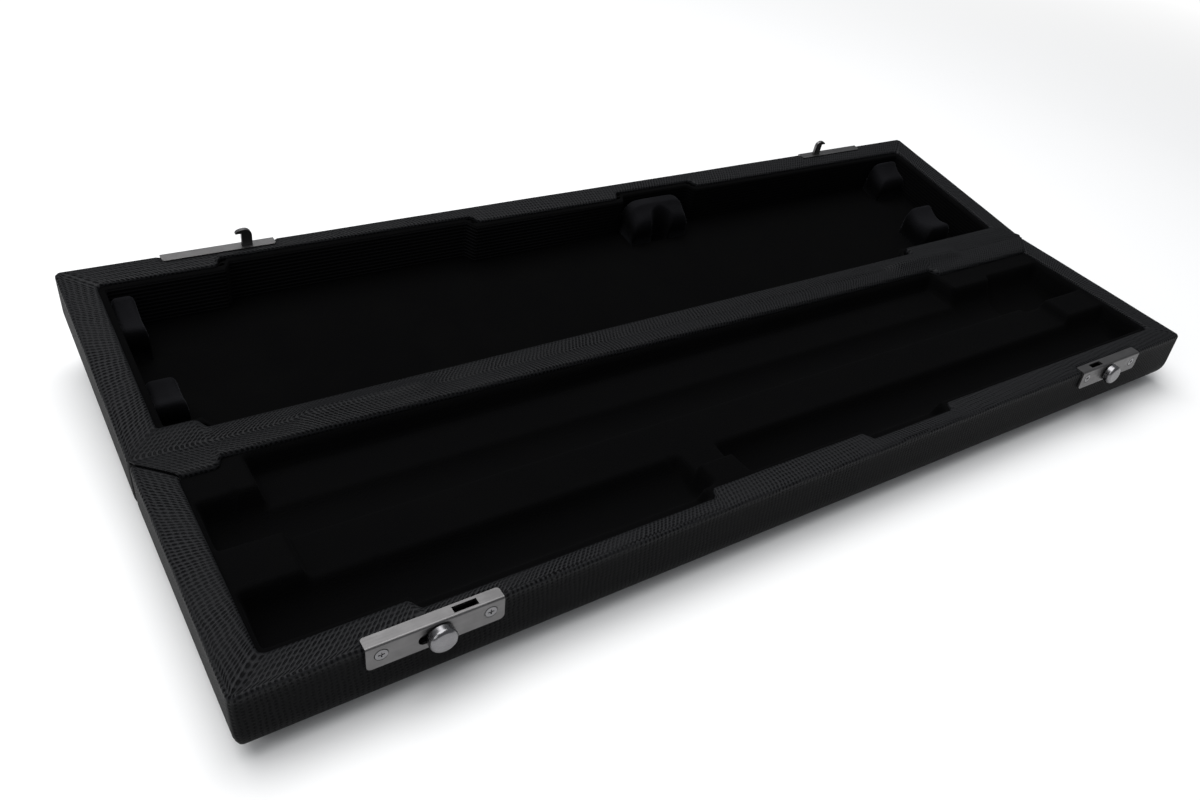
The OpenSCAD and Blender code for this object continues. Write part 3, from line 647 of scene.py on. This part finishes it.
# ---------- velvet ----------
def well_depth(x, y):
    """Height of the lower lining over the plane: the ledge, and sunk into it the
    round-bottomed wells and the flat shelves, the deepest one counting. Each is
    drawn in by g, the room that the cloth's round edge takes."""
    z = np.full_like(x, -LEDGE)
    g = 0.55
    for x0, x1, y0, r in WELLS:
        r = r - g
        bottom = -3.0 - np.sqrt(np.maximum(r * r - (y - y0) ** 2, 0))
        inside = (x > x0 + g) & (x < x1 - g) & (np.abs(y - y0) < r)
        z = np.where(inside, np.minimum(z, bottom), z)
    for x0, x1, y0, y1, depth in SHELVES:
        inside = (x > x0 + g) & (x < x1 - g) & (y > y0) & (y < y1 - g * (y1 > 20))
        inside = inside & (y > y0 + g * (y0 < -30))
        z = np.where(inside, np.minimum(z, -depth), z)
    return z


def soften(z, times):
    """Rounds a height grid's edges: repeated 1-2-1 averages along both ways."""
    for _ in range(times):
        p = np.pad(z, 1, mode="edge")
        z = (p[:-2, 1:-1] + 2 * p[1:-1, 1:-1] + p[2:, 1:-1]) / 4
        p = np.pad(z, 1, mode="edge")
        z = (p[1:-1, :-2] + 2 * p[1:-1, 1:-1] + p[1:-1, 2:]) / 4
    return z


def sample(z, x0, y0, step, x, y):
    """Bilinear values, at the places x and y, of a height grid that starts at
    (x0, y0) and has the same step both ways."""
    i = np.clip((x - x0) / step, 0, z.shape[0] - 1.001)
    j = np.clip((y - y0) / step, 0, z.shape[1] - 1.001)
    a, b = i.astype(int), j.astype(int)
    s, t = i - a, j - b
    return ((z[a, b] * (1 - s) + z[a + 1, b] * s) * (1 - t)
            + (z[a, b + 1] * (1 - s) + z[a + 1, b + 1] * s) * t)


def make_base_lining(mat):
    """The fitted velvet: a grid over the opening, whose front and back edges follow
    the bays, lowered to well_depth, with its edges softened as cloth does."""
    nx, ny = 470, 118
    u, v = np.linspace(-1, 1, nx)[:, None], np.linspace(0, 1, ny)[None, :]
    x = u * (OPEN_X - 0.1) + 0 * v
    lo, hi = -(OPEN_Y + bay(x, True)) + 0.1, OPEN_Y + bay(x, False) - 0.1
    y = lo + (hi - lo) * v
    step, far_x, far_y = 0.5, 188, 41
    gx, gy = np.meshgrid(np.arange(-far_x, far_x + 0.1, step),
                         np.arange(-far_y, far_y + 0.1, step), indexing="ij")
    z = sample(soften(well_depth(gx, gy), 3), -far_x, -far_y, step, x, y)
    z += 0.05 * np.sin(x * 0.31 + np.sin(y * 0.4)) * np.sin(y * 0.27 + 0.5)
    pts = np.stack([x, y, z], -1).reshape(-1, 3)
    faces, _ = grid_faces(nx, ny, False, False)
    piece = add_piece("velvet_of_the_wells", on_base(pts), faces, "base", mat)
    thicken(piece, VELVET_T)
    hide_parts("base_lining")
    return piece


def make_lid_lining(mat):
    """The velvet of the lid's recess: a ledge, a wall with a round foot and the
    floor, carried round the opening."""
    e = RIM_W + RECESS_WALL
    foot = 1.4
    rows = [(RIM_W - 0.5, -1.9, 1.0, OPENING_R), (RIM_W - 0.2, -LEDGE - 0.1, 1.0, OPENING_R),
            (RIM_W + 0.5, -LEDGE, 1.0, OPENING_R), (e - 0.5, -LEDGE, 1.0, 1.4),
            (e - 0.1, -1.5, 1.0, 1.0)]
    rows += [(e, z, 1.0, 1.0) for z in np.linspace(-2.2, -RECESS + foot, 12)]
    rows += [(d, z, 1.0, 1.0)
             for d, z in quarter(e + foot, -RECESS + foot, foot, 180, 270, 5)[1:]]
    floor = ((e + 3.5, 0.8), (22.0, 0.4), (32.0, 0.0), (40.0, 0.0), (CASE_W / 2, 0.0))
    rows += [(d, -RECESS, share, 1.0) for d, share in floor]
    pts, side, value, run, total = carry_round(rows, 1.3, RECESS_WALL)
    wall = soft_step(-pts[..., 2] - 1.6, 0.8) * soft_step(pts[..., 2] + RECESS - 0.6, 1.0)
    # painted sheen: the ribs and their lighter crests are at full strength towards negative X
    # and a quarter as strong towards positive X
    wall = wall * (0.25 + 0.75 * soft_step(15.0 - pts[..., 0], 40.0))
    faces, pairs = grid_faces(len(pts), pts.shape[1], True, False)
    uv = edge_map(len(pts), pairs, pts, run, total)
    piece = add_piece("velvet_of_the_lid", on_lid(pts.reshape(-1, 3)), faces, "lid",
                      mat, uv, {"wall": wall.reshape(-1)})
    weld(piece)
    thicken(piece, VELVET_T)
    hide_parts("lid_lining")
    return piece


def make_pad(name, x0, x1, y0, y1, axis_y, mat, arch=0.0):
    """A velvet pad: over its rectangle the top is the pad's height, hollowed by the
    saddle of a tube about axis_y and by an upright arch, and falls away at the edges
    as the sixth power does; the flat underside closes it."""
    n, pad_z, saddle_z, saddle_r = 44, -2.5, 3.4, 10.2
    u, v = np.meshgrid(np.linspace(-1, 1, n), np.linspace(-1, 1, n), indexing="ij")
    x, y = (x0 + x1) / 2 + u * (x1 - x0) / 2, (y0 + y1) / 2 + v * (y1 - y0) / 2
    top = np.full_like(x, pad_z)
    reach = saddle_r ** 2 - (y - axis_y) ** 2
    saddle = saddle_z - np.sqrt(np.maximum(reach, 0))
    top = np.where(reach > 0, np.minimum(top, saddle), top)
    top = soften(top, 3)
    fall = ((1 - np.abs(u) ** 6) * (1 - np.abs(v) ** 6)) ** 0.24
    if arch:
        gap = np.hypot(x - (x0 + x1) / 2, y - y1)
        fall = fall * soft_step(gap - arch + 0.6, 1.2) ** 0.5
    z = -RECESS + (top + RECESS) * fall
    upper = np.stack([x, y, z], -1).reshape(-1, 3)
    lower = np.stack([x, y, np.full_like(x, -RECESS)], -1).reshape(-1, 3)
    faces, _ = grid_faces(n, n, False, True)
    under, _ = grid_faces(n, n, False, False)
    # painted highlight mask: the pad's fall value, 1 on its top and less down its sides; none on
    # the underside
    painted_top_light = np.concatenate([fall.reshape(-1), np.zeros(n * n)])
    piece = add_piece(name + "_velvet", on_lid(np.concatenate([upper, lower])),
                      np.concatenate([faces, under + n * n]), "lid", mat,
                      values={"top": painted_top_light})
    weld(piece, outwards=True)
    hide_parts(name)
    return piece


def make_spring(name, side, mat):
    """A return spring inside a catch. At turn angle a its wire's middle is at
    x0 + wire + pitch * a, at the coil's radius, and the wire's ring at angle b adds
    wire * sin(b) along X and wire * cos(b) outwards. The rings shrink to a point at
    both ends."""
    x0, x1, r, wire, turns, sides, slot_d = -12.05, -4.1, 1.1, 0.2, 5, 12, 1.5
    a = np.linspace(0, turns * 2 * math.pi, turns * 24 + 1)
    a = np.concatenate([a[:1], a, a[-1:]])[:, None]
    ring = np.full_like(a, wire)
    ring[[0, -1]] = 0
    b = np.linspace(0, 2 * math.pi, sides, endpoint=False)[None, :]
    x = x0 + wire + (x1 - x0 - 2 * wire) * a / a.max() + ring * np.sin(b)
    q = r + ring * np.cos(b)
    y, z = -CASE_W / 2 + slot_d + q * np.cos(a), q * np.sin(a) - KNOB_Z
    pts = np.stack([side * (CATCH_X - x), y, z], -1).reshape(-1, 3)
    faces, _ = grid_faces(len(a), sides, True, False)
    piece = add_piece(name + "_coil", on_base(pts), faces, "base", mat)
    weld(piece, 0.01, outwards=True)
    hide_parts(name)
    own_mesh(piece)
    return piece


# ---------- the case ----------
make_camera()
make_studio()

GRAIN = leatherette()
VELVET = velvet("black velvet", 0.45)
RIBBED = velvet("black velvet with ribs", 0.35, ribs=True)
# painted light: the pads' velvet is the same black velvet at about seven times the tone of the
# wells' velvet, standing for the light on their tops
PAD_VELVET = velvet("black velvet of the pads", 3.4, painted_top_light=True)
SATIN = nickel("satin nickel plate", 0.36, 0.48, 0.25, (0.152, 0.149, 0.15))
POLISHED = nickel("polished nickel", 0.2, 0.3, 0.1, (0.2, 0.198, 0.205))
STEEL = nickel("spring steel", 0.3, 0.45, 0.2)
DARK_STEEL = nickel("oiled dark steel", 0.45, 0.6, 0.2, (0.016, 0.016, 0.018))
WOOD = plywood()
FOAM = dark_foam()

base_skin = make_cover("leatherette_of_the_tray", BASE_H, "base", on_base, False, GRAIN)
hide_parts("base_cover")
lid_skin = make_cover("leatherette_of_the_lid", LID_H, "lid", on_lid, True, GRAIN)
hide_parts("lid_cover")
strip = make_strip(GRAIN)
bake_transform(strip)
make_base_lining(VELVET)
make_lid_lining(RIBBED)

make_spring("catch_spring_left", -1, STEEL)
make_spring("catch_spring_right", 1, STEEL)

IN_X, IN_Y = OPEN_X - RECESS_WALL - 0.05, OPEN_Y - RECESS_WALL - 0.05
BAY_Y = IN_Y + BAY_D
PADS = {                                   # x0, x1, y0, y1, middle line of its tube
    "pad_left_back": (-IN_X, -IN_X + 10, 7, 22, BACK_TUBE_Y),
    "pad_left_front": (-IN_X, -IN_X + 8, -IN_Y, -IN_Y + 18, FRONT_TUBE_Y),
    "pad_middle": (19, 48, -BAY_Y, -BAY_Y + 13, FRONT_TUBE_Y),
    "pad_right_front": (IN_X - 17, IN_X, -IN_Y, -IN_Y + 12, FRONT_TUBE_Y),
    "pad_right_back": (IN_X - 25, IN_X - 9, 4, 22, BACK_TUBE_Y),
}
for name, place in PADS.items():
    make_pad(name, *place, PAD_VELVET, arch=5.0 if name == "pad_middle" else 0.0)

# the finish of each solid that still shows: the first word found in its name decides
FINISHES = {
    "screws": POLISHED, "spring": STEEL, "case_": DARK_STEEL, "bolt": DARK_STEEL,
    "knob": POLISHED, "shell": WOOD, "former": FOAM, "cover": GRAIN, "lining": VELVET,
    "pad": VELVET, "plate": SATIN, "hook": SATIN, "hinge": SATIN,
}
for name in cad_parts:
    solid = bpy.data.objects.get(name)
    if solid is None:
        continue
    finish = next(f for word, f in FINISHES.items() if word in name)
    if not solid.material_slots:
        solid.data.materials.append(finish)
    for place in solid.material_slots:
        place.material = finish

bpy.context.scene.view_settings.view_transform = "Standard"
